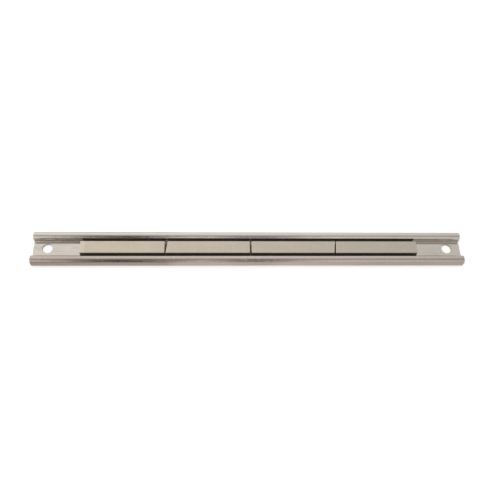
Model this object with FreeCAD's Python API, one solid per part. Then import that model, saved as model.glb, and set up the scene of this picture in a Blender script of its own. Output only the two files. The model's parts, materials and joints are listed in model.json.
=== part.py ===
"""Magnetic knife rack: a folded stainless rail with four bonded magnet units in its trough.

Millimetres. The rack lies on its back: +X runs along the rail, +Y runs up the wall once the rack
is hung, and +Z points away from the wall, towards the knives. The origin is the centre of the back,
on the wall plane, so every solid is at z >= 0.

The rail is one strip of sheet. In section it has a flat floor against the wall, and along each long
side a hollow round-topped ridge, whose outer wall comes back down to the wall plane. Each magnet
unit is a stack: bond line, ferrite block, bond line, steel pole plate.
"""

import FreeCAD
import Part
import math
import os

# ---- rail ----
RAIL_LENGTH = 450.0
SHEET = 1.5                   # sheet thickness
RIDGE_SPACING = 27.9          # between the two ridges' centre lines
RIDGE_OUTER_RADIUS = 4.4      # outside of the round top
RIDGE_ROUND_HEIGHT = 5.1      # wall plane to the centre of the round top
FLOOR_BEND_INNER = 1.0        # bend between floor and inner wall, on the trough side
EDGE_BREAK = 0.3              # deburred long edges of the outer walls
END_BREAK = 0.2               # deburred ends of the strip

# ---- screw holes, one near each end of the floor ----
SCREW_HOLE_RADIUS = 5.3
SCREW_HOLE_X = 210.6          # each side of the middle
SCREW_HOLE_Y = 1.1            # punched a little above the rail's middle line
HOLE_BREAK = 0.15             # deburred rim

# ---- magnet units, in order along +X ----
ROW_START = -176.2
UNIT_LENGTHS = (86.8, 86.6, 87.8, 86.5)       # along each unit's middle line
UNIT_GAPS = (2.0, 1.6, 1.2)                   # from one unit to the next, on the same line
START_LEANS = (0.0, 2.0, 0.0, 1.4)            # from an end's -Y corner to its +Y corner, along X
END_LEANS = (0.0, 0.0, 1.9, 0.0)
UNIT_WIDTH = 13.9
BOND = 0.2                    # each bond line's thickness
BOND_INSET = 0.4              # the bond stops this far inside the block's edge
MAGNET_THICKNESS = 5.0
MAGNET_CHAMFER = 0.4          # ferrite blocks have their upright corners broken
PLATE_THICKNESS = 1.5
PLATE_EDGE_RADIUS = 0.35      # tumbled rim of the plate's outer face
ROW_Y = -0.55                 # the row is bonded a little off the rail's middle line

# ---- worked out from the above ----
RAIL_HALF = RAIL_LENGTH / 2
RIDGE_Y = RIDGE_SPACING / 2
OUTER_FACE_Y = RIDGE_Y + RIDGE_OUTER_RADIUS
TROUGH_FACE_Y = RIDGE_Y - RIDGE_OUTER_RADIUS
HOLLOW_RADIUS = RIDGE_OUTER_RADIUS - SHEET

MAGNET_BOND_Z = SHEET
MAGNET_Z = MAGNET_BOND_Z + BOND
PLATE_BOND_Z = MAGNET_Z + MAGNET_THICKNESS
PLATE_Z = PLATE_BOND_Z + BOND

TOLERANCE = 1e-6              # for picking edges by where they lie


def point(y, z):
    """A point of the rail's section, at the rail's first end."""
    return FreeCAD.Vector(-RAIL_HALF, y, z)


def line(a, b):
    return Part.LineSegment(point(*a), point(*b)).toShape()


def arc(a, middle, b):
    return Part.Arc(point(*a), point(*middle), point(*b)).toShape()


def quarter(centre, radius, side_y, side_z):
    """Middle point of the quarter round that lies on the given sides of its centre."""
    reach = radius * math.sqrt(0.5)
    return (centre[0] + side_y * reach, centre[1] + side_z * reach)


def rail_section_half(side):
    """Edges of the section's half on one side (+1 or -1), from the back round to the floor."""
    hollow_in = RIDGE_Y - HOLLOW_RADIUS
    hollow_out = RIDGE_Y + HOLLOW_RADIUS
    top_z = RIDGE_ROUND_HEIGHT
    hollow_top = (RIDGE_Y, top_z + HOLLOW_RADIUS)
    ridge_top = (RIDGE_Y, top_z + RIDGE_OUTER_RADIUS)
    break_in = (hollow_out + EDGE_BREAK, EDGE_BREAK)
    break_out = (OUTER_FACE_Y - EDGE_BREAK, EDGE_BREAK)
    bend = (TROUGH_FACE_Y - FLOOR_BEND_INNER, SHEET + FLOOR_BEND_INNER)
    bend_under = quarter(bend, FLOOR_BEND_INNER + SHEET, 1, -1)
    bend_over = quarter(bend, FLOOR_BEND_INNER, 1, -1)

    outline = [
        (line, (0, 0), (bend[0], 0)),
        (arc, (bend[0], 0), bend_under, (hollow_in, bend[1])),
        (line, (hollow_in, bend[1]), (hollow_in, top_z)),
        (arc, (hollow_in, top_z), hollow_top, (hollow_out, top_z)),
        (line, (hollow_out, top_z), (hollow_out, EDGE_BREAK)),
        (arc, (hollow_out, EDGE_BREAK), quarter(break_in, EDGE_BREAK, -1, -1), (break_in[0], 0)),
        (line, (break_in[0], 0), (break_out[0], 0)),
        (arc, (break_out[0], 0), quarter(break_out, EDGE_BREAK, 1, -1), (OUTER_FACE_Y, EDGE_BREAK)),
        (line, (OUTER_FACE_Y, EDGE_BREAK), (OUTER_FACE_Y, top_z)),
        (arc, (OUTER_FACE_Y, top_z), ridge_top, (TROUGH_FACE_Y, top_z)),
        (line, (TROUGH_FACE_Y, top_z), (TROUGH_FACE_Y, bend[1])),
        (arc, (TROUGH_FACE_Y, bend[1]), bend_over, (bend[0], SHEET)),
        (line, (bend[0], SHEET), (0, SHEET)),
    ]
    return [make(*[(side * y, z) for y, z in points]) for make, *points in outline]


def rail():
    """The folded strip, with its ends deburred and its two screw holes."""
    edges = rail_section_half(1) + rail_section_half(-1)
    section = Part.Face(Part.Wire(Part.__sortEdges__(edges)))
    strip = section.extrude(FreeCAD.Vector(RAIL_LENGTH, 0, 0)).removeSplitter()
    end_edges = [e for e in strip.Edges if e.BoundBox.XLength < TOLERANCE]
    strip = strip.makeChamfer(END_BREAK, end_edges)
    for x in (-SCREW_HOLE_X, SCREW_HOLE_X):
        strip = strip.cut(screw_hole(x))
    return strip


def screw_hole(x):
    """What is cut away for one screw: the hole and a small deburring cone at each rim."""
    down = FreeCAD.Vector(0, 0, -1)
    up = FreeCAD.Vector(0, 0, 1)
    rim = SCREW_HOLE_RADIUS + HOLE_BREAK
    on_back = FreeCAD.Vector(x, SCREW_HOLE_Y, 0)
    on_floor = FreeCAD.Vector(x, SCREW_HOLE_Y, SHEET)
    cutter = Part.makeCylinder(SCREW_HOLE_RADIUS, SHEET, on_back, up)
    front = Part.makeCone(rim, SCREW_HOLE_RADIUS, HOLE_BREAK, on_floor, down)
    back = Part.makeCone(rim, SCREW_HOLE_RADIUS, HOLE_BREAK, on_back, up)
    return cutter.fuse([front, back])


def unit_slab(number, z, thickness, inset=0.0):
    """A slab with the outline of unit 1, 2, 3 or 4, taken in by inset all round."""
    before = number - 1
    unit_start = ROW_START + sum(UNIT_LENGTHS[:before]) + sum(UNIT_GAPS[:before])
    start = unit_start + inset
    end = unit_start + UNIT_LENGTHS[before] - inset
    low = ROW_Y - UNIT_WIDTH / 2 + inset
    high = ROW_Y + UNIT_WIDTH / 2 - inset
    start_lean = START_LEANS[before] / 2
    end_lean = END_LEANS[before] / 2
    corners = [(start - start_lean, low), (end - end_lean, low),
               (end + end_lean, high), (start + start_lean, high)]
    outline = Part.makePolygon([FreeCAD.Vector(x, y, z) for x, y in corners + corners[:1]])
    return Part.Face(outline).extrude(FreeCAD.Vector(0, 0, thickness))


def magnet(number):
    """A ferrite block, magnetised through its thickness."""
    block = unit_slab(number, MAGNET_Z, MAGNET_THICKNESS)
    upright = [e for e in block.Edges if e.BoundBox.ZLength > MAGNET_THICKNESS / 2]
    return block.makeChamfer(MAGNET_CHAMFER, upright)


def pole_plate(number):
    """The steel plate on the block's outer pole, with the rim of its outer face rounded."""
    plate = unit_slab(number, PLATE_Z, PLATE_THICKNESS)
    top = PLATE_Z + PLATE_THICKNESS
    rim = [e for e in plate.Edges if e.BoundBox.ZMin > top - TOLERANCE]
    return plate.makeFillet(PLATE_EDGE_RADIUS, rim)


def magnet_bond(number):
    """The adhesive between the rail's floor and the block."""
    return unit_slab(number, MAGNET_BOND_Z, BOND, BOND_INSET)


def plate_bond(number):
    """The adhesive between the block and its pole plate."""
    return unit_slab(number, PLATE_BOND_Z, BOND, BOND_INSET)


def pieces():
    """Every node's name and its solid."""
    yield "rail", rail()
    for number in range(1, len(UNIT_LENGTHS) + 1):
        yield f"magnet_bond_{number}", magnet_bond(number)
        yield f"magnet_{number}", magnet(number)
        yield f"plate_bond_{number}", plate_bond(number)
        yield f"pole_plate_{number}", pole_plate(number)


os.makedirs("parts", exist_ok=True)
for name, shape in pieces():
    if not shape.isValid() or len(shape.Solids) != 1:
        raise ValueError(f"{name} is not one valid solid")
    shape.exportStep(f"parts/{name}.step")
    box = shape.BoundBox
    print(f"{name:15} {box.XLength:7.2f} {box.YLength:6.2f} {box.ZLength:5.2f}  {shape.Volume:9.1f} mm3")
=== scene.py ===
"""Looks of a magnetic knife rack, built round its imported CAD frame. Lengths are in metres.

The rack lies on its back: +X along the rail, +Z out of the front. The sheet-metal rail, the four
ferrite blocks, their steel pole plates and the adhesive lines are each rebuilt as a finer mesh in the
place of their CAD node, and every one gets a procedural material.
"""

import json
import math
import random

import bmesh
import bpy
from mathutils import Matrix, Vector, noise


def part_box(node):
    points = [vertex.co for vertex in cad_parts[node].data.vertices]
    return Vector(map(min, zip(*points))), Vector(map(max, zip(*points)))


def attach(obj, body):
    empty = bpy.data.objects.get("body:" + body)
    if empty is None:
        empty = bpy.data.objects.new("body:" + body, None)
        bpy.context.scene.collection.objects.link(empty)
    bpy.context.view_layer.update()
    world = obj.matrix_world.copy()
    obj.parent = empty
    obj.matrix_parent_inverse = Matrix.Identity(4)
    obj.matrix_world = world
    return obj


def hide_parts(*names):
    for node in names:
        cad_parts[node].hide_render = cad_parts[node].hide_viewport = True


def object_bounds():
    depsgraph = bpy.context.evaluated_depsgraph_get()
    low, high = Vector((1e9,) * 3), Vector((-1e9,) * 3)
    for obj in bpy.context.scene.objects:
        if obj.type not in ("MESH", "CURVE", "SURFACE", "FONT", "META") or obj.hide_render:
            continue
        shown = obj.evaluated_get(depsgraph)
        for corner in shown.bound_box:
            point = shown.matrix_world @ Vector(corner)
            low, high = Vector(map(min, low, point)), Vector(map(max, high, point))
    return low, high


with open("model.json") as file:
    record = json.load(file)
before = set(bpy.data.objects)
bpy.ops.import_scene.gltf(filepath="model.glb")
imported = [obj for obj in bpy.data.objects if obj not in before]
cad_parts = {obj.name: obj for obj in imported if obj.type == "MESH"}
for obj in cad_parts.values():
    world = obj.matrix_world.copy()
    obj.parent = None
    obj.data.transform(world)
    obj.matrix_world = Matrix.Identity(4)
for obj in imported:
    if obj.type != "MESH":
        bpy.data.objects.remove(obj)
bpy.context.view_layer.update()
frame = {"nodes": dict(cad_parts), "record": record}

MM = 0.001
UNITS = (1, 2, 3, 4)


# ---------------------------------------------------------------- sizes

# The rail's section, in the same terms as its CAD solid.
SHEET = 1.5 * MM
RIDGE_RADIUS = 4.4 * MM             # outside of a ridge's round top
BEND_RADIUS = 1.0 * MM              # inside of the bend between floor and ridge
EDGE_BREAK = 0.3 * MM               # rounding of the long cut edges
END_BREAK = 0.2 * MM                # rounding of the cut ends
HOLE_RADIUS = 5.3 * MM
HOLE_BREAK = 0.18 * MM              # rounding of the holes' rims

rail_high = Vector(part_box("rail")[1])
RAIL_HALF = rail_high.x
RIDGE_Y = rail_high.y - RIDGE_RADIUS
ROUND_Z = rail_high.z - RIDGE_RADIUS
RIDGE_TOP_Z = rail_high.z
TROUGH_Y = RIDGE_Y - RIDGE_RADIUS
FLAT_Y = TROUGH_Y - BEND_RADIUS     # where the floor's flat part ends

screw_mount = next(m for m in frame["record"]["mounts"] if m["name"] == "wall_screws")
HOLE_X = screw_mount["dims"]["spacing_x_mm"] / 2 * MM
HOLE_Y = screw_mount["pos_m"][1]


# ---------------------------------------------------------------- mesh helpers


def new_object(name, vertices, faces):
    """A smooth-shaded mesh object with outward normals, linked to the scene."""
    mesh = bpy.data.meshes.new(name)
    mesh.from_pydata(vertices, [], faces)
    work = bmesh.new()
    work.from_mesh(mesh)
    bmesh.ops.recalc_face_normals(work, faces=work.faces)
    work.to_mesh(mesh)
    work.free()
    mesh.polygons.foreach_set("use_smooth", [True] * len(mesh.polygons))
    piece = bpy.data.objects.new(name, mesh)
    bpy.context.collection.objects.link(piece)
    flatten = piece.modifiers.new("flat_faces_stay_flat", "WEIGHTED_NORMAL")
    flatten.weight = 100
    return piece


def place(piece, node, slot, material):
    """Puts a finished piece in the place of its CAD node."""
    piece.data.materials.append(material)
    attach(piece, "root")
    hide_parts(node)


def edge_inset(distance, radius):
    """How far a surface has drawn in at a distance from an edge rounded to a radius."""
    if distance >= radius:
        return 0.0
    return radius - math.sqrt(radius ** 2 - (radius - distance) ** 2)


# ---------------------------------------------------------------- the rail

FLOOR_STEP = 1.0 * MM               # grid over the floor's flat part and beside the holes
LONG_STEP = 3.0 * MM                # grid along the rail elsewhere
HOLE_ZONE = 8.0 * MM                # half the square of floor round a hole
RIDGE_STEPS = 40
BEND_STEPS = 12
WALL_STEPS = 5
EDGE_STEPS = (0.0, 0.04, 0.12, 0.3, 0.6, 1.0)       # in parts of the edge's rounding
HOLE_SPREAD = (0.35, 0.7)           # rings between the grid's square and a hole, in parts of the way
HOLE_RIM_STEPS = 4
# The rolled sheet's waves: height, length along the rail, length across it, phase.
SHEET_WAVES = ((0.010, 13.0 * MM, 11.0 * MM, 0.0),
               (0.016, 29.0 * MM, -17.0 * MM, 1.3),
               (0.003, 5.3 * MM, 6.0 * MM, 0.7))


def half_section():
    """Middle line of the sheet from the floor out to one long edge.

    Each point is (y, z, normal y, normal z, distance to the long edge), the normal being on the
    front or trough side.
    """
    middle = SHEET / 2
    bend = (FLAT_Y, SHEET + BEND_RADIUS)
    bend_radius = BEND_RADIUS + middle
    ridge_radius = RIDGE_RADIUS - middle
    points = []
    steps = round(HOLE_ZONE / FLOOR_STEP)
    for i in range(steps + 1):
        points.append((i * FLOOR_STEP, middle, 0.0, 1.0))
    for i in range(BEND_STEPS + 1):
        a = math.radians(90 * i / BEND_STEPS)
        points.append((bend[0] + bend_radius * math.sin(a), bend[1] - bend_radius * math.cos(a),
                       -math.sin(a), math.cos(a)))
    wall_y = RIDGE_Y - ridge_radius
    for i in range(1, WALL_STEPS):
        points.append((wall_y, bend[1] + (ROUND_Z - bend[1]) * i / WALL_STEPS, -1.0, 0.0))
    for i in range(RIDGE_STEPS + 1):
        a = math.radians(180 * i / RIDGE_STEPS)
        points.append((RIDGE_Y - ridge_radius * math.cos(a), ROUND_Z + ridge_radius * math.sin(a),
                       -math.cos(a), math.sin(a)))
    wall_y = RIDGE_Y + ridge_radius
    heights = [ROUND_Z + (EDGE_BREAK - ROUND_Z) * i / WALL_STEPS for i in range(1, WALL_STEPS)]
    heights += [EDGE_BREAK * part for part in reversed(EDGE_STEPS)]
    points += [(wall_y, z, 1.0, 0.0) for z in heights]
    return [(*p, p[1] if p[0] > RIDGE_Y else RIDGE_TOP_Z) for p in points]


def full_section():
    """The whole middle line, with the distance along it measured from the rail's centre."""
    half = half_section()
    mirrored = [(-y, z, -ny, nz, edge) for y, z, ny, nz, edge in reversed(half[1:])]
    line = mirrored + half
    along = [0.0]
    for a, b in zip(line, line[1:]):
        along.append(along[-1] + math.hypot(b[0] - a[0], b[1] - a[1]))
    centre = along[len(mirrored)]
    return [(*p, s - centre) for p, s in zip(line, along)]


def stations():
    """X of every cross-section: close together at the ends and beside the holes."""
    stops = [-RAIL_HALF + END_BREAK, -HOLE_X - HOLE_ZONE, -HOLE_X + HOLE_ZONE,
             HOLE_X - HOLE_ZONE, HOLE_X + HOLE_ZONE, RAIL_HALF - END_BREAK]
    ends = [END_BREAK * part for part in EDGE_STEPS[:-1]]
    xs = [-RAIL_HALF + d for d in ends]
    for low, high in zip(stops, stops[1:]):
        step = FLOOR_STEP if high - low < 3 * HOLE_ZONE else LONG_STEP
        count = max(1, round((high - low) / step))
        xs += [low + (high - low) * i / count for i in range(count)]
    xs.append(stops[-1])
    return xs + [RAIL_HALF - d for d in reversed(ends)]


def sheet_wave(x, s):
    """How far the rolled sheet strays from its true place, a few hundredths of a millimetre."""
    waves = (height * math.sin(x / along + s / across + phase)
             for height, along, across, phase in SHEET_WAVES)
    return sum(waves) * MM


def build_rail(material):
    section = full_section()
    xs = stations()
    middle_k = len(section) // 2
    zone_k = round(HOLE_ZONE / FLOOR_STEP)
    zone = range(middle_k - zone_k, middle_k + zone_k + 1)
    vertices = []
    faces = []
    grid = {}

    def vertex(x, y, z):
        vertices.append((x, y, z))
        return len(vertices) - 1

    def in_hole_zone(x, margin):
        return abs(abs(x) - HOLE_X) < HOLE_ZONE + margin

    def half_thickness(x, edge):
        return SHEET / 2 - edge_inset(edge, EDGE_BREAK) - edge_inset(RAIL_HALF - abs(x), END_BREAK)

    for i, x in enumerate(xs):
        for k, (y, z, ny, nz, edge, s) in enumerate(section):
            if in_hole_zone(x, -FLOOR_STEP / 2) and zone[0] < k < zone[-1]:
                continue
            wave = sheet_wave(x, s)
            half = half_thickness(x, edge)
            for side in (1, -1):
                lift = wave + side * half
                grid[side, i, k] = vertex(x, y + ny * lift, z + nz * lift)

    for i in range(len(xs) - 1):
        hole_here = in_hole_zone((xs[i] + xs[i + 1]) / 2, 0)
        for k in range(len(section) - 1):
            if hole_here and zone[0] <= k < zone[-1]:
                continue
            for side in (1, -1):
                faces.append([grid[side, i, k], grid[side, i + 1, k],
                              grid[side, i + 1, k + 1], grid[side, i, k + 1]])

    last_i = len(xs) - 1
    last_k = len(section) - 1
    for i in (0, last_i):
        for k in range(last_k):
            faces.append([grid[1, i, k], grid[1, i, k + 1], grid[-1, i, k + 1], grid[-1, i, k]])
    for k in (0, last_k):
        for i in range(last_i):
            faces.append([grid[1, i, k], grid[1, i + 1, k], grid[-1, i + 1, k], grid[-1, i, k]])

    for centre in ((-HOLE_X, HOLE_Y), (HOLE_X, HOLE_Y)):
        columns = [i for i, x in enumerate(xs)
                   if in_hole_zone(x, FLOOR_STEP / 4) and x * centre[0] > 0]
        border = [(i, zone[0]) for i in columns[:-1]]
        border += [(columns[-1], k) for k in zone[:-1]]
        border += [(i, zone[-1]) for i in reversed(columns[1:])]
        border += [(columns[0], k) for k in reversed(zone[1:])]
        add_hole(vertex, faces, centre, [(xs[i], section[k][0]) for i, k in border],
                 {side: [grid[side, i, k] for i, k in border] for side in (1, -1)})

    place(new_object("rail_sheet", vertices, faces), "rail", "rail_stainless", material)


def add_hole(vertex, faces, centre, border, outer):
    """The floor between a square of the grid and a round hole, on both sides, and the hole's wall."""
    cx, cy = centre
    directions = [math.atan2(y - cy, x - cx) for x, y in border]
    rims = {}
    for side in (1, -1):
        rings = [outer[side]]
        rim = HOLE_RADIUS + HOLE_BREAK
        for part in HOLE_SPREAD:
            ring = []
            for (x, y), a in zip(border, directions):
                rx = x + (cx + rim * math.cos(a) - x) * part
                ry = y + (cy + rim * math.sin(a) - y) * part
                ring.append(vertex(rx, ry, SHEET / 2 + sheet_wave(rx, ry) + side * SHEET / 2))
            rings.append(ring)
        for step in range(HOLE_RIM_STEPS + 1):
            turn = math.radians(90 * step / HOLE_RIM_STEPS)
            r = HOLE_RADIUS + HOLE_BREAK * (1 - math.sin(turn))
            drop = HOLE_BREAK * (1 - math.cos(turn))
            ring = []
            for a in directions:
                rx = cx + r * math.cos(a)
                ry = cy + r * math.sin(a)
                ring.append(vertex(rx, ry, SHEET / 2 + sheet_wave(rx, ry) + side * (SHEET / 2 - drop)))
            rings.append(ring)
        for a, b in zip(rings, rings[1:]):
            join_rings(faces, a, b)
        rims[side] = rings[-1]
    join_rings(faces, rims[1], rims[-1])


def join_rings(faces, a, b):
    count = len(a)
    for i in range(count):
        j = (i + 1) % count
        faces.append([a[i], a[j], b[j], b[i]])


# ---------------------------------------------------------------- the stacked slabs

OUTLINE_STEP = 0.6 * MM
CORNER_STEPS = 6
CORNER_REACH = 0.5 * MM             # a vertex this near a long side belongs to one of its corners
LEAST_CORNER = 0.02 * MM            # a corner's rounding never goes below this
LOWER_EDGE_STEPS = 3
UPPER_EDGE_STEPS = 4


def slab_corners(node):
    """The four plan corners of a CAD slab, read from its mesh, counterclockwise from low X and Y."""
    verts = [v.co for v in frame["nodes"][node].data.vertices]
    low = min(v.y for v in verts)
    high = max(v.y for v in verts)
    near = [v.x for v in verts if v.y - low < CORNER_REACH]
    far = [v.x for v in verts if high - v.y < CORNER_REACH]
    return [(min(near), low), (max(near), low), (max(far), high), (min(far), high)]


def shrink(corners, inset):
    """A convex outline with every side moved in by inset."""
    sides = []
    for (ax, ay), (bx, by) in zip(corners, corners[1:] + corners[:1]):
        length = math.hypot(bx - ax, by - ay)
        nx = -(by - ay) / length
        ny = (bx - ax) / length
        sides.append((nx, ny, nx * ax + ny * ay + inset))
    result = []
    for (ax, ay, ad), (bx, by, bd) in zip(sides[-1:] + sides[:-1], sides):
        cross = ax * by - ay * bx
        result.append(((ad * by - bd * ay) / cross, (ax * bd - bx * ad) / cross))
    return result


def outline(corners, inset, radius, counts):
    """Points round an outline with rounded corners, always the same number for the same counts."""
    points = []
    small = shrink(corners, inset)
    round_by = max(radius - inset, LEAST_CORNER)
    cores = shrink(small, round_by)
    normals = []
    for (ax, ay), (bx, by) in zip(small, small[1:] + small[:1]):
        normals.append(math.atan2(-(bx - ax), by - ay))
    for i, (cx, cy) in enumerate(cores):
        first = normals[i - 1]
        turn = (normals[i] - first) % (2 * math.pi)
        for step in range(CORNER_STEPS + 1):
            a = first + turn * step / CORNER_STEPS
            points.append((cx + round_by * math.cos(a), cy + round_by * math.sin(a)))
        here = points[-1]
        nx, ny = cores[(i + 1) % 4]
        there = (nx + round_by * math.cos(normals[i]), ny + round_by * math.sin(normals[i]))
        for step in range(1, counts[i]):
            part = step / counts[i]
            points.append((here[0] + (there[0] - here[0]) * part, here[1] + (there[1] - here[1]) * part))
    return points


def side_counts(corners):
    counts = []
    for (ax, ay), (bx, by) in zip(corners, corners[1:] + corners[:1]):
        counts.append(max(2, round(math.hypot(bx - ax, by - ay) / OUTLINE_STEP)))
    return counts


def slab(name, corners, radius, rows, shape=None):
    """A closed slab lofted through rows of (z, inset). shape moves each point a little."""
    counts = side_counts(corners)
    vertices = []
    faces = []
    previous = None
    for z, inset in rows:
        ring = []
        for x, y in outline(corners, inset, radius, counts):
            point = Vector((x, y, z))
            if shape:
                point = shape(point)
            vertices.append(tuple(point))
            ring.append(len(vertices) - 1)
        if previous:
            join_rings(faces, previous, ring)
        else:
            faces.append(list(ring))
        previous = ring
    faces.append(list(previous))
    return new_object(name, vertices, faces)


def rounded_rows(low, high, low_radius, high_radius, between):
    """Rows of (z, inset) up a slab's side, with its lower and upper edges rounded."""
    rows = []
    for step in range(LOWER_EDGE_STEPS + 1):
        a = math.radians(90 * step / LOWER_EDGE_STEPS)
        rows.append((low + low_radius * (1 - math.cos(a)), low_radius * (1 - math.sin(a))))
    for step in range(1, between):
        rows.append((low + low_radius + (high - low - low_radius - high_radius) * step / between, 0.0))
    for step in range(UPPER_EDGE_STEPS + 1):
        a = math.radians(90 * step / UPPER_EDGE_STEPS)
        rows.append((high - high_radius * (1 - math.sin(a)), high_radius * (1 - math.cos(a))))
    return rows


# ---------------------------------------------------------------- ferrite blocks

MAGNET_CORNER = 0.5 * MM
MAGNET_EDGE = 0.12 * MM
MAGNET_SIDE_ROWS = 9
CHIPS_PER_BLOCK = 16
CHIP_SIDES = (0, 1, 1, 2, 3, 3)     # drawn from these, so the short ends get more for their length
CHIP_REACH = (0.5, 1.3)             # millimetres
CHIP_DEPTH = (0.12, 0.4)            # millimetres
FIRST_SEED = 100


def build_magnet(number, material):
    """A pressed and ground ferrite block, with the small chips that its edges always have."""
    node = f"magnet_{number}"
    low, high = (Vector(corner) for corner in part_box(node))
    corners = slab_corners(node)
    draw = random.Random(FIRST_SEED + number)
    chips = []
    for _ in range(CHIPS_PER_BLOCK):
        side = draw.choice(CHIP_SIDES)
        (ax, ay), (bx, by) = corners[side], corners[(side + 1) % 4]
        part = draw.random()
        z = draw.choice((low.z, high.z))
        reach = draw.uniform(*CHIP_REACH) * MM
        depth = draw.uniform(*CHIP_DEPTH) * MM
        chips.append((Vector((ax + (bx - ax) * part, ay + (by - ay) * part, z)), reach, depth))
    centre_y = (low.y + high.y) / 2

    def shape(point):
        rough = noise.noise(point * 900) * 0.02 * MM
        inward = Vector((0, centre_y - point.y, 0)).normalized()
        moved = point + inward * rough
        for spot, reach, depth in chips:
            gap = (point - spot).length / reach
            if gap < 1:
                bite = depth * (1 - gap * gap) * (0.8 + 0.4 * noise.noise(point * 2500))
                moved += inward * bite
                moved.z += bite * 0.6 * (1 if spot.z == low.z else -1)
        return moved

    rows = rounded_rows(low.z, high.z, MAGNET_EDGE, MAGNET_EDGE, MAGNET_SIDE_ROWS)
    place(slab(f"ferrite_block_{number}", corners, MAGNET_CORNER, rows, shape),
          node, "ferrite", material)


# ---------------------------------------------------------------- pole plates

PLATE_CORNER = 0.6 * MM
PLATE_ROLL = 0.38 * MM              # rolled-over rim of the outer face
PLATE_BURR = 0.06 * MM              # the lower rim is nearly sharp
PLATE_SIDE_ROWS = 3
PLATE_RINGS = (1.2, 2.4, 3.6, 4.8, 5.8)             # rings of the outer face, in millimetres inwards
PLATE_UNEVEN = 0.04 * MM


def build_plate(number, material):
    """A sheared steel plate: rolled-over upper rim, sharp lower one, very slightly uneven face."""
    node = f"pole_plate_{number}"
    low, high = (Vector(corner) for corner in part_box(node))
    rows = rounded_rows(low.z, high.z, PLATE_BURR, PLATE_ROLL, PLATE_SIDE_ROWS)
    rows += [(high.z, ring * MM) for ring in PLATE_RINGS]

    def shape(point):
        if point.z < high.z - PLATE_ROLL:
            return point
        return point + Vector((0, 0, (noise.noise(point * 60) - 0.4) * PLATE_UNEVEN))

    place(slab(f"pole_cap_{number}", slab_corners(node), PLATE_CORNER, rows, shape),
          node, "pole_steel", material)


# ---------------------------------------------------------------- adhesive

BEAD_OUT = 0.55 * MM                # the most that adhesive stands out past the block
BEAD_UP = 0.45 * MM                 # how far it climbs the block's side
# The bead's outline from the floor up, in parts of BEAD_UP and of BEAD_OUT (inwards counts as plus).
BEAD_PROFILE = ((0.0, -0.9), (0.10, -1.0), (0.25, -0.9), (0.5, -0.55), (0.75, -0.22), (1.0, -0.02))
BEAD_LEAST = 0.08                   # the thinnest and the usual bead, in parts of the full one
BEAD_USUAL = 0.45


def build_magnet_bond(number, material):
    """The adhesive under a block, pressed out into a small uneven bead all round its foot."""
    node = f"magnet_bond_{number}"
    low, high = (Vector(corner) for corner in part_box(node))
    corners = slab_corners(f"magnet_{number}")
    xs = [x for x, _ in corners]
    ys = [y for _, y in corners]
    inner_low = Vector((max(xs[0], xs[3]), min(ys), 0))
    inner_high = Vector((min(xs[1], xs[2]), max(ys), 0))

    def shape(point):
        amount = BEAD_USUAL + 0.9 * noise.noise(point * 130 + Vector((0, 0, number)))
        amount = min(max(amount, BEAD_LEAST), 1.0)
        flat = Vector((point.x, point.y, 0))
        inner = Vector((min(max(flat.x, inner_low.x), inner_high.x),
                        min(max(flat.y, inner_low.y), inner_high.y), 0))
        moved = inner + (flat - inner) * amount
        rise = (point.z - low.z) * (amount if (flat - inner).length > 0 else 1.0)
        return Vector((moved.x, moved.y, low.z + max(rise, 0.0)))

    bond_inset = low.x - corners[0][0]
    rows = [(low.z + BEAD_UP * up, BEAD_OUT * out) for up, out in BEAD_PROFILE]
    rows += [(high.z, 0.0), (high.z, bond_inset)]
    place(slab(f"foot_adhesive_{number}", corners, MAGNET_CORNER, rows, shape),
          node, "adhesive", material)


def build_plate_bond(number, material):
    """The thin adhesive line between block and plate, a hair short of flush."""
    node = f"plate_bond_{number}"
    low, high = (Vector(corner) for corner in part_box(node))
    corners = slab_corners(f"magnet_{number}")
    centre_y = (low.y + high.y) / 2

    def shape(point):
        inward = Vector((0, centre_y - point.y, 0)).normalized()
        return point + inward * (0.16 + 0.12 * noise.noise(point * 220)) * MM

    rows = [(low.z, 0.1 * MM), ((low.z + high.z) / 2, 0.04 * MM), (high.z, 0.1 * MM)]
    place(slab(f"cap_adhesive_{number}", corners, MAGNET_CORNER, rows, shape),
          node, "adhesive", material)


# ---------------------------------------------------------------- material helpers


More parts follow.
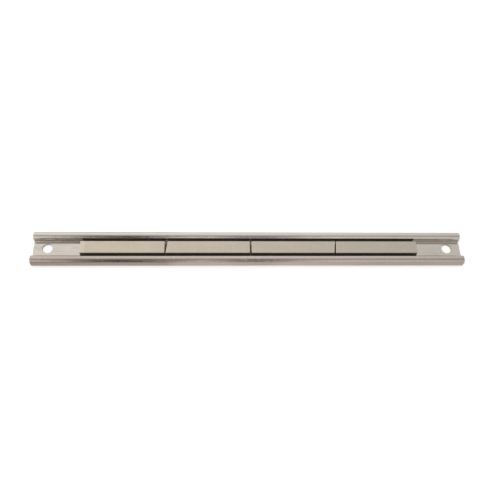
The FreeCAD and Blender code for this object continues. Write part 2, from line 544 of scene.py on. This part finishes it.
class Material:
    """A node material under construction: a Principled shader and short ways to feed it."""

    def __init__(self, name):
        self.material = bpy.data.materials.new(name)
        self.material.use_nodes = True
        self.tree = self.material.node_tree
        self.shader = self.tree.nodes["Principled BSDF"]
        self.place = self.add("ShaderNodeTexCoord").outputs["Object"]
        parts = self.add("ShaderNodeSeparateXYZ", {"Vector": self.place})
        self.x, self.y, self.z = parts.outputs

    def add(self, kind, inputs=None, **settings):
        node = self.tree.nodes.new(kind)
        for key, value in settings.items():
            setattr(node, key, value)
        for key, value in (inputs or {}).items():
            self.feed(node.inputs[key], value)
        return node

    def feed(self, socket, value):
        if isinstance(value, bpy.types.NodeSocket):
            self.tree.links.new(value, socket)
        else:
            socket.default_value = value

    def set(self, **values):
        for key, value in values.items():
            self.feed(self.shader.inputs[key.replace("_", " ")], value)

    def math(self, operation, a, b=0.0, clamp=False):
        node = self.add("ShaderNodeMath", operation=operation, use_clamp=clamp)
        self.feed(node.inputs[0], a)
        self.feed(node.inputs[1], b)
        return node.outputs[0]

    def span(self, value, low, high, to_low=0.0, to_high=1.0, smooth=True):
        """Maps a range of value onto another, clamped at both ends."""
        node = self.add("ShaderNodeMapRange",
                        {"Value": value, "From Min": low, "From Max": high,
                         "To Min": to_low, "To Max": to_high},
                        interpolation_type="SMOOTHSTEP" if smooth else "LINEAR")
        return node.outputs["Result"]

    def stretched(self, scale, turn=0.0):
        """Object coordinates turned about Z, then scaled per axis."""
        turned = self.add("ShaderNodeMapping", {"Vector": self.place, "Rotation": (0, 0, turn)})
        node = self.add("ShaderNodeMapping", {"Vector": turned.outputs[0], "Scale": scale})
        return node.outputs[0]

    def noise(self, scale, detail=3.0, rough=0.5, stretch=(1, 1, 1), turn=0.0, lean=0.0):
        node = self.add("ShaderNodeTexNoise",
                        {"Vector": self.stretched(stretch, turn), "Scale": scale, "Detail": detail,
                         "Roughness": rough, "Distortion": lean})
        return node.outputs["Fac"]

    def mix(self, amount, a, b):
        node = self.add("ShaderNodeMix", data_type="RGBA")
        self.feed(node.inputs["Factor"], amount)
        self.feed(node.inputs[6], a)
        self.feed(node.inputs[7], b)
        return node.outputs[2]

    def scratches(self, turn, across, along, sparse):
        """Fine straight lines at an angle: stretched noise, kept only at its narrow peaks."""
        lines = self.noise(1.0, 2.0, 0.4, stretch=(along, across, along), turn=turn)
        patches = self.noise(70.0, 1.0, 0.5, turn=turn + 0.4)
        peak = self.span(lines, sparse, sparse + 0.05)
        return self.math("MULTIPLY", peak, self.span(patches, 0.42, 0.62))

    def all_scratches(self, sets):
        """Several sets of scratches laid over each other."""
        marks = self.scratches(*sets[0])
        for one in sets[1:]:
            marks = self.math("MAXIMUM", marks, self.scratches(*one))
        return marks

    def bump(self, height, distance, strength, under=None):
        node = self.add("ShaderNodeBump", {"Height": height, "Distance": distance, "Strength": strength})
        if under:
            self.feed(node.inputs["Normal"], under)
        return node.outputs[0]


def colour(red, green, blue):
    return (red, green, blue, 1.0)


# ---------------------------------------------------------------- materials


SEAM_HALF = 6.6 * MM                # painted shade lies this far out from the middle in the units' seams
SEAM_FADE = 1.0 * MM
RIDGE_CROWN = 2.2 * MM              # the height of a ridge's top that is given a lighter colour
NEAR_SHADE_START = 1.0 * MM               # the near ridge's painted shade, a browner colour, starts this far before its face
NEAR_SHADE_FULL = 1.5 * MM                # and is full this far past it
BACK_FULL = 0.2 * MM                # up to this height the sheet has the back's dull finish
BACK_END = 0.5 * MM
CUT_START = 0.10 * MM               # the cut ends' duller face, from this far off the end
CUT_FULL = 0.02 * MM
HOLE_SHADE_START = 0.10 * MM              # painted shade on a hole's wall, from this far outside its radius
HOLE_SHADE_FULL = 0.04 * MM
BEND_SHADE_OUT = 0.8 * MM            # painted shade beside the bend starts this far in on the floor's flat part
BEND_SHADE_FULL = 0.2 * MM           # its height on the inner wall, above the floor
BEND_SHADE_TOP = 2.4 * MM
# Fine straight scratches, as (turn, frequency across, frequency along, how sparse).
RAIL_SCRATCHES = ((0.25, 2600, 22, 0.66), (1.35, 2300, 30, 0.66), (-0.9, 2900, 26, 0.68))
PLATE_SCRATCHES = ((1.45, 2400, 26, 0.63), (1.75, 2800, 34, 0.64), (0.35, 2700, 24, 0.66))
END_HIGHLIGHT_WIDTH = 4.9 * MM               # a painted highlight, a paler band across the first plate's outer end
END_HIGHLIGHT_FADE = 0.6 * MM


def rail_material():
    """Rolled stainless strip: lengthwise grain, blotches, scratched ridges with lighter tops, cut ends,
    and painted shade on the near ridge, in the bends, on the holes' walls and in the seams.
    """
    m = Material("rail_stainless")
    grain = m.noise(1.0, 4.0, 0.65, stretch=(28, 3600, 3600))
    fine = m.noise(1.0, 2.0, 0.5, stretch=(120, 9000, 9000))
    broad = m.noise(1.0, 3.0, 0.55, stretch=(22, 90, 90))
    stain = m.noise(1.0, 4.0, 0.6, stretch=(34, 210, 210), lean=0.6)

    height = m.span(m.z, BACK_FULL, BACK_END)
    back = m.math("SUBTRACT", 1.0, height)
    outward = m.math("ABSOLUTE", m.y)
    ridge = m.span(m.z, RIDGE_TOP_Z - RIDGE_CROWN, RIDGE_TOP_Z)
    cut_end = m.span(m.math("ABSOLUTE", m.x), RAIL_HALF - CUT_START, RAIL_HALF - CUT_FULL)
    # Painted shade in the crease where the floor bends up into each ridge.
    corner = m.math("MULTIPLY", m.span(outward, FLAT_Y - BEND_SHADE_OUT, TROUGH_Y),
                    m.span(m.z, SHEET + BEND_SHADE_TOP, SHEET + BEND_SHADE_FULL))
    corner = m.math("MULTIPLY", corner, m.span(outward, RIDGE_Y, TROUGH_Y))

    beside = m.math("SUBTRACT", m.math("ABSOLUTE", m.x), HOLE_X)
    above = m.math("SUBTRACT", m.y, HOLE_Y)
    from_hole = m.math("SQRT", m.math("ADD", m.math("MULTIPLY", beside, beside),
                                      m.math("MULTIPLY", above, above)))
    # Painted shade on the holes' walls.
    hole_wall_shade = m.span(from_hole, HOLE_RADIUS + HOLE_SHADE_START, HOLE_RADIUS + HOLE_SHADE_FULL)
    # Painted shade: the near ridge is browner and darker, less so towards its right end.
    near_ridge_shade = m.span(m.y, -TROUGH_Y + NEAR_SHADE_START, -TROUGH_Y - NEAR_SHADE_FULL)
    near_ridge_shade = m.math("MULTIPLY", near_ridge_shade, m.span(m.x, -RAIL_HALF, RAIL_HALF, 0.75, 0.45))
    row_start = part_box("magnet_1")[0][0]
    row_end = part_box("magnet_4")[1][0]
    # Painted shade on the floor in the seams between the units.
    seam_shade = m.math("MULTIPLY", m.span(m.x, row_start, row_start + SEAM_FADE),
                   m.span(m.x, row_end, row_end - SEAM_FADE))
    seam_shade = m.math("MULTIPLY", seam_shade, m.span(outward, SEAM_HALF + SEAM_FADE, SEAM_HALF))
    knocks = m.all_scratches(RAIL_SCRATCHES)
    knocks = m.math("MULTIPLY", knocks, m.span(ridge, 0.0, 1.0, 0.35, 1.0))

    base = m.mix(m.span(broad, 0.35, 0.65), colour(0.63, 0.597, 0.552), colour(0.575, 0.54, 0.495))
    base = m.mix(m.span(stain, 0.5, 0.75, 0.0, 0.35), base, colour(0.40, 0.33, 0.29))
    base = m.mix(m.span(grain, 0.35, 0.65, 0.0, 0.22), base, colour(0.47, 0.44, 0.41))
    # painted shade in the bends' creases
    base = m.mix(m.math("MULTIPLY", corner, 0.14), base, colour(0.26, 0.21, 0.17))
    # lighter colour towards the ridges' tops
    base = m.mix(m.math("MULTIPLY", ridge, 0.6), base, colour(0.66, 0.645, 0.62))
    # painted shade on the near ridge
    base = m.mix(near_ridge_shade, base, colour(0.43, 0.365, 0.335))
    base = m.mix(m.math("MULTIPLY", knocks, 0.4), base, colour(0.80, 0.78, 0.74))
    base = m.mix(m.math("MULTIPLY", back, 0.5), base, colour(0.42, 0.41, 0.40))
    base = m.mix(m.math("MULTIPLY", cut_end, 0.6), base, colour(0.45, 0.43, 0.41))
    # painted shade on the holes' walls
    base = m.mix(m.math("MULTIPLY", hole_wall_shade, 0.85), base, colour(0.10, 0.09, 0.08))
    # painted shade in the seams
    base = m.mix(m.math("MULTIPLY", seam_shade, 0.85), base, colour(0.13, 0.105, 0.085))

    rough = m.span(grain, 0.3, 0.7, 0.12, 0.18)
    rough = m.math("ADD", rough, m.span(stain, 0.45, 0.8, 0.0, 0.07))
    rough = m.math("ADD", rough, m.math("MULTIPLY", knocks, 0.12))
    rough = m.math("ADD", rough, m.math("MULTIPLY", back, 0.16))
    rough = m.math("ADD", rough, m.math("MULTIPLY", hole_wall_shade, 0.25))
    rough = m.math("ADD", rough, m.math("MULTIPLY", seam_shade, 0.35))
    rough = m.math("ADD", rough, m.math("MULTIPLY", cut_end, 0.22), clamp=True)

    lines = m.bump(grain, 0.020 * MM, 0.60)
    lines = m.bump(fine, 0.012 * MM, 0.60, lines)
    lines = m.bump(knocks, 0.012 * MM, 0.35, lines)
    m.set(Base_Color=base, Metallic=1.0, Roughness=rough, Normal=lines)
    return m.material


def plate_material():
    """Ground mild steel, faintly yellow, scored by blades, with painted light: warmer and brighter at
    the first plate, greyer towards the last, and a painted highlight across the first plate's outer end.
    """
    m = Material("pole_steel")
    grain = m.noise(1.0, 3.0, 0.6, stretch=(60, 3200, 3200))
    swirl = m.noise(420.0, 3.0, 0.6)
    broad = m.noise(1.0, 3.0, 0.5, stretch=(30, 110, 110))
    freckle = m.span(m.noise(1500.0, 1.0, 0.5), 0.70, 0.78)

    first = Vector(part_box("pole_plate_1")[0])
    last = Vector(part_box("pole_plate_4")[1])
    side = m.span(m.z, last.z - 0.25 * MM, last.z - 0.5 * MM)
    # Painted highlight: a paler band across the first plate's outer end, kept off its sides.
    end_highlight_edge = m.math("ADD", m.x, m.span(swirl, 0.3, 0.7, -0.3 * MM, 0.3 * MM))
    end_highlight = m.span(end_highlight_edge, first.x + END_HIGHLIGHT_WIDTH, first.x + END_HIGHLIGHT_WIDTH - END_HIGHLIGHT_FADE)
    end_highlight = m.math("MULTIPLY", end_highlight, m.math("SUBTRACT", 1.0, side))

    blades = m.all_scratches(PLATE_SCRATCHES)

    # Painted light: the plates run from warmer and brighter at the first to greyer at the last.
    warm = m.mix(m.span(broad, 0.3, 0.7), colour(0.60, 0.525, 0.42), colour(0.565, 0.50, 0.405))
    cool = m.mix(m.span(broad, 0.3, 0.7), colour(0.515, 0.47, 0.40), colour(0.495, 0.455, 0.395))
    base = m.mix(m.span(m.x, first.x, last.x, smooth=False), warm, cool)
    base = m.mix(m.span(grain, 0.35, 0.7, 0.0, 0.2), base, colour(0.46, 0.42, 0.36))
    base = m.mix(m.math("MULTIPLY", blades, 0.35), base, colour(0.76, 0.73, 0.68))
    base = m.mix(m.math("MULTIPLY", freckle, 0.35), base, colour(0.20, 0.13, 0.08))
    # painted highlight on the first plate's outer end
    base = m.mix(m.math("MULTIPLY", end_highlight, 0.30), base, colour(0.72, 0.67, 0.60))
    base = m.mix(m.math("MULTIPLY", side, 0.75), base, colour(0.22, 0.20, 0.17))

    rough = m.span(swirl, 0.3, 0.7, 0.30, 0.40)
    rough = m.math("ADD", rough, m.math("MULTIPLY", side, 0.12))
    rough = m.math("ADD", rough, m.math("MULTIPLY", blades, -0.06), clamp=True)

    lines = m.bump(grain, 0.008 * MM, 0.25)
    lines = m.bump(swirl, 0.010 * MM, 0.2, lines)
    lines = m.bump(blades, 0.012 * MM, -0.4, lines)
    m.set(Base_Color=base, Metallic=1.0, Roughness=rough, Normal=lines)
    return m.material


def ferrite_material():
    """Sintered ferrite: charcoal, matt, finely grained, greyer where it is chipped or ground."""
    m = Material("ferrite")
    grit = m.noise(2600.0, 4.0, 0.7)
    cloud = m.noise(260.0, 3.0, 0.55)
    marks = m.noise(1.0, 2.0, 0.5, stretch=(40, 3000, 3000))
    base = m.mix(m.span(cloud, 0.3, 0.7), colour(0.050, 0.044, 0.040), colour(0.080, 0.071, 0.064))
    base = m.mix(m.span(grit, 0.55, 0.8, 0.0, 0.5), base, colour(0.12, 0.11, 0.10))
    base = m.mix(m.span(marks, 0.55, 0.75, 0.0, 0.35), base, colour(0.12, 0.11, 0.10))
    rough = m.span(grit, 0.3, 0.7, 0.48, 0.66)
    relief = m.bump(grit, 0.03 * MM, 0.5)
    relief = m.bump(marks, 0.012 * MM, 0.3, relief)
    m.set(Base_Color=base, Metallic=0.0, Roughness=rough, Normal=relief)
    return m.material


def adhesive_material():
    """Set epoxy: straw grey, a little glossy, with trapped dust."""
    m = Material("adhesive")
    cloud = m.noise(380.0, 3.0, 0.6)
    dust = m.noise(2200.0, 2.0, 0.6)
    base = m.mix(m.span(cloud, 0.3, 0.7), colour(0.42, 0.36, 0.25), colour(0.32, 0.27, 0.19))
    base = m.mix(m.span(dust, 0.58, 0.75, 0.0, 0.5), base, colour(0.16, 0.14, 0.12))
    rough = m.span(cloud, 0.3, 0.7, 0.32, 0.5)
    m.set(Base_Color=base, Roughness=rough, Normal=m.bump(cloud, 0.03 * MM, 0.4))
    return m.material


# ---------------------------------------------------------------- build the object

build_rail(rail_material())
ferrite = ferrite_material()
pole_steel = plate_material()
adhesive = adhesive_material()
for unit in UNITS:
    build_magnet_bond(unit, adhesive)
    build_magnet(unit, ferrite)
    build_plate_bond(unit, adhesive)
    build_plate(unit, pole_steel)


# ---------------------------------------------------------------- floor, light and camera

FLOOR_HALF = 4.0
FLOOR_GAP = 0.02 * MM               # between the table and the lowest point of the object
TABLE_GLOW = 0.35                   # light of the table's own, which keeps the shadows faint

# What the steel shows of the table. Each brightness change is (from, to, there, there).
TABLE_TOWARDS_BACK = (-0.2, 0.2, 0.86, 0.95)
TABLE_TOWARDS_RIGHT = (0.02, 0.18, 1.0, 0.80)
PATCHES_TOWARDS_BACK = (-0.075, -0.02, 1.0, 0.35)
TABLE_PATCHES = ((-0.32, -0.095, 0.32), (-0.010, 0.017, 0.75))      # X from, X to, brightness
PATCH_FADE = 0.023

# The surround's brightness, as (direction, from, to, brightness there, brightness there), where from
# and to are parts of the direction. The first two add up and the others multiply the sum.
RIGHT = (1.0, 0.0, 0.0)
BACK = (0.0, 1.0, 0.0)
BACK_AND_UP = (0.0, 0.866, 0.5)
WALL_LIGHT = (BACK_AND_UP, 0.25, 0.97, 0.0, 0.48)
FRONT_LIGHT = (BACK, -1.0, -0.2, 1.14, 0.60)
RIGHT_FALLOFF = (RIGHT, -0.05, 0.65, 1.0, 0.68)
LEFT_BOOST = (RIGHT, -0.34, -0.20, 1.12, 1.0)
UPRIGHTS = ((-0.215, -0.088), (0.028, 0.096))       # black uprights in front, by X of the direction
UPRIGHT_FADE = 0.016
UPRIGHTS_END = (BACK, -0.60, 0.15, 0.0, 1.0)        # they fade out towards the zenith
TINT_CHANGE = (BACK_AND_UP, -0.2, 0.8, 0.0, 1.0)

SOFTBOX_SIZE = (3.0, 3.0)
SOFTBOXES = (("softbox_left", (-3.1, 0.1, 1.4), 42), ("softbox_right", (3.1, 0.1, 1.4), 24))


def build_floor():
    """A plain white table.

    Only glossy rays see it dimmer, with two darker patches in front of the rack. They and the surround's
    uprights are what makes the dark streaks along the ridges.
    """
    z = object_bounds()[0][2] - FLOOR_GAP
    corners = [(-FLOOR_HALF, -FLOOR_HALF, z), (FLOOR_HALF, -FLOOR_HALF, z),
               (FLOOR_HALF, FLOOR_HALF, z), (-FLOOR_HALF, FLOOR_HALF, z)]
    mesh = bpy.data.meshes.new("table_top")
    mesh.from_pydata(corners, [], [(0, 1, 2, 3)])
    floor = bpy.data.objects.new("table_top", mesh)
    bpy.context.collection.objects.link(floor)
    m = Material("white_table")
    paper = m.noise(40.0, 2.0, 0.5)
    m.set(Base_Color=m.mix(paper, colour(0.93, 0.93, 0.925), colour(0.91, 0.91, 0.905)),
          Roughness=0.8, Specular_IOR_Level=0.2,
          Emission_Color=colour(1.0, 1.0, 1.0), Emission_Strength=TABLE_GLOW)
    glossy = m.add("ShaderNodeLightPath").outputs["Is Glossy Ray"]
    shade = m.span(m.y, *TABLE_TOWARDS_BACK)
    shade = m.math("MULTIPLY", shade, m.span(m.x, *TABLE_TOWARDS_RIGHT))
    beyond = m.span(m.y, *PATCHES_TOWARDS_BACK)
    for left, right, light in TABLE_PATCHES:
        inside = m.math("MULTIPLY", m.span(m.x, left - PATCH_FADE, left),
                        m.span(m.x, right, right + PATCH_FADE, 1.0, 0.0))
        cover = m.math("MULTIPLY", m.math("MULTIPLY", inside, beyond), 1.0 - light)
        shade = m.math("MULTIPLY", shade, m.math("SUBTRACT", 1.0, cover))
    dim = m.add("ShaderNodeEmission", {"Color": colour(1.0, 0.94, 0.91), "Strength": shade})
    blend = m.add("ShaderNodeMixShader", {0: glossy, 1: m.shader.outputs[0], 2: dim.outputs[0]})
    out = m.tree.nodes["Material Output"]
    m.tree.links.new(blend.outputs[0], out.inputs["Surface"])
    mesh.materials.append(m.material)


def build_world():
    """A soft surround: bright behind and low in front, dimmer overhead and falling off to the right.

    Two black uprights stand in front of the rack, where mostly its ridges show them.
    """
    world = bpy.data.worlds.new("studio")
    bpy.context.scene.world = world
    world.use_nodes = True
    tree = world.node_tree
    back = tree.nodes["Background"]
    direction = tree.nodes.new("ShaderNodeTexCoord").outputs["Generated"]

    def combine(operation, a, b):
        node = tree.nodes.new("ShaderNodeMath")
        node.operation = operation
        tree.links.new(a, node.inputs[0])
        tree.links.new(b, node.inputs[1])
        return node.outputs[0]

    def along(vector, low, high, to_low, to_high):
        dot = tree.nodes.new("ShaderNodeVectorMath")
        dot.operation = "DOT_PRODUCT"
        tree.links.new(direction, dot.inputs[0])
        dot.inputs[1].default_value = vector
        span = tree.nodes.new("ShaderNodeMapRange")
        span.interpolation_type = "SMOOTHSTEP"
        tree.links.new(dot.outputs["Value"], span.inputs["Value"])
        span.inputs["From Min"].default_value = low
        span.inputs["From Max"].default_value = high
        span.inputs["To Min"].default_value = to_low
        span.inputs["To Max"].default_value = to_high
        return span.outputs["Result"]

    room = combine("ADD", along(*WALL_LIGHT), along(*FRONT_LIGHT))
    room = combine("MULTIPLY", room, along(*RIGHT_FALLOFF))
    room = combine("MULTIPLY", room, along(*LEFT_BOOST))
    for left, right in UPRIGHTS:
        outside = combine("MAXIMUM", along(RIGHT, left - UPRIGHT_FADE, left, 1.0, 0.0),
                          along(RIGHT, right, right + UPRIGHT_FADE, 0.0, 1.0))
        room = combine("MULTIPLY", room, combine("MAXIMUM", outside, along(*UPRIGHTS_END)))
    tree.links.new(room, back.inputs["Strength"])
    tint = tree.nodes.new("ShaderNodeMix")
    tint.data_type = "RGBA"
    tree.links.new(along(*TINT_CHANGE), tint.inputs["Factor"])
    tint.inputs[6].default_value = colour(1.0, 0.94, 0.90)
    tint.inputs[7].default_value = colour(1.0, 0.985, 0.955)
    tree.links.new(tint.outputs[2], back.inputs["Color"])


def add_softbox(name, place, watts):
    """A big soft light that faces the middle of the rack."""
    light = bpy.data.lights.new(name, "AREA")
    light.shape = "RECTANGLE"
    light.size, light.size_y = SOFTBOX_SIZE
    light.energy = watts
    lamp = bpy.data.objects.new(name, light)
    lamp.location = place
    lamp.rotation_euler = (-Vector(place)).to_track_quat("-Z", "Y").to_euler()
    bpy.context.collection.objects.link(lamp)


CAMERA_DISTANCE = 0.6554
CAMERA_ELEVATION = math.radians(61.03)
CAMERA_YAW = math.radians(-6.54)
CAMERA_ROLL = math.radians(5.76)
CAMERA_LENS = 44.67                 # millimetres, on the default 36 mm sensor
CAMERA_SLIDE = (-0.35 * MM, 0.34 * MM)      # to its right and up, from looking straight at the origin


def build_camera():
    """Looks at the middle of the rail's back from in front and above, tilted a little."""
    level = math.cos(CAMERA_ELEVATION)
    backward = Vector((math.sin(CAMERA_YAW) * level, -math.cos(CAMERA_YAW) * level,
                       math.sin(CAMERA_ELEVATION)))
    right = Vector((0, 0, 1)).cross(backward).normalized()
    up = backward.cross(right)
    c, s = math.cos(CAMERA_ROLL), math.sin(CAMERA_ROLL)
    rolled_right = c * right + s * up
    rolled_up = c * up - s * right
    data = bpy.data.cameras.new("camera")
    data.lens = CAMERA_LENS
    data.clip_start = 0.01
    camera = bpy.data.objects.new("camera", data)
    turn = Matrix((rolled_right, rolled_up, backward)).transposed().to_4x4()
    slide = rolled_right * CAMERA_SLIDE[0] + rolled_up * CAMERA_SLIDE[1]
    camera.matrix_world = Matrix.Translation(backward * CAMERA_DISTANCE + slide) @ turn
    bpy.context.collection.objects.link(camera)
    bpy.context.scene.camera = camera


build_floor()
build_world()
for softbox in SOFTBOXES:
    add_softbox(*softbox)
build_camera()
bpy.context.scene.view_settings.view_transform = "Standard"
